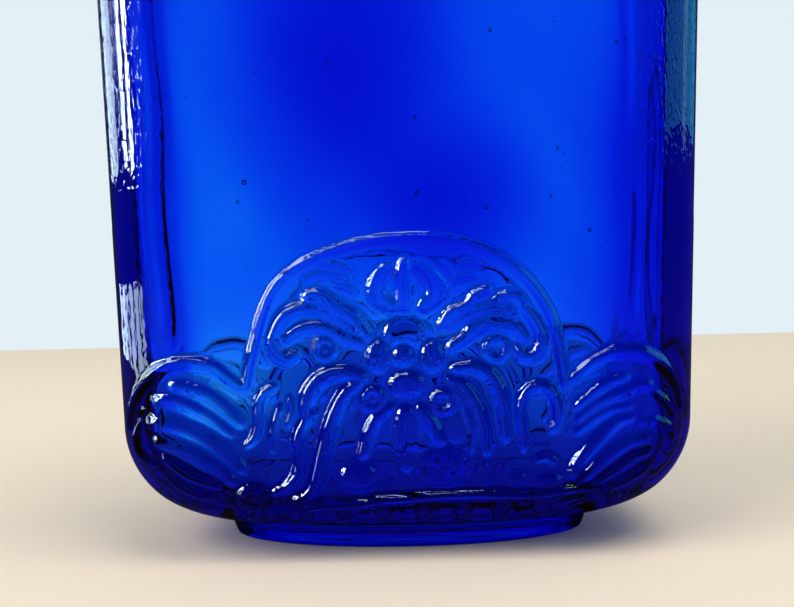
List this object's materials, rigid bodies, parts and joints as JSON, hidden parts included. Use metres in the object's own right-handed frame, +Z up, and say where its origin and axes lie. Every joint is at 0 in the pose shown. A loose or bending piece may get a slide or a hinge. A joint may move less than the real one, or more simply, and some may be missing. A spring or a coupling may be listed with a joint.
{
  "type": "poison bottle",
  "caption": "Flat-sided blown cobalt glass flask on an oval foot, with scroll and leaf relief, an applied collar, a shell cork and a glass stopper.",
  "frame": {"origin": "middle of the oval foot, on the surface the bottle stands on", "axes": "+Z up along the neck, X across the flat panels, the front panel faces -Y"},
  "size_m": [0.098, 0.0406, 0.1841],
  "materials": {
    "cobalt_glass": "mould-blown, fire-polished, with seeds and a faint orange peel",
    "collar_glass": "hand-tooled, fire-polished",
    "cork": "natural cork, matt, with dark pores",
    "stopper_glass": "pressed and fire-polished"
  },
  "bodies": {
    "flask": {"bottle": "cobalt_glass", "lip_collar": "collar_glass"},
    "cork": {"cork_sleeve": "cork"},
    "stopper": {"glass_stopper": "stopper_glass"}
  },
  "joints": [
    {"name": "cork_pull", "type": "slide", "parent": "flask", "child": "cork", "axis": [0, 0, 1], "range_m": [0, 0.028]},
    {"name": "stopper_pull", "type": "slide", "parent": "cork", "child": "stopper", "axis": [0, 0, 1], "range_m": [0, 0.026]}
  ]
}
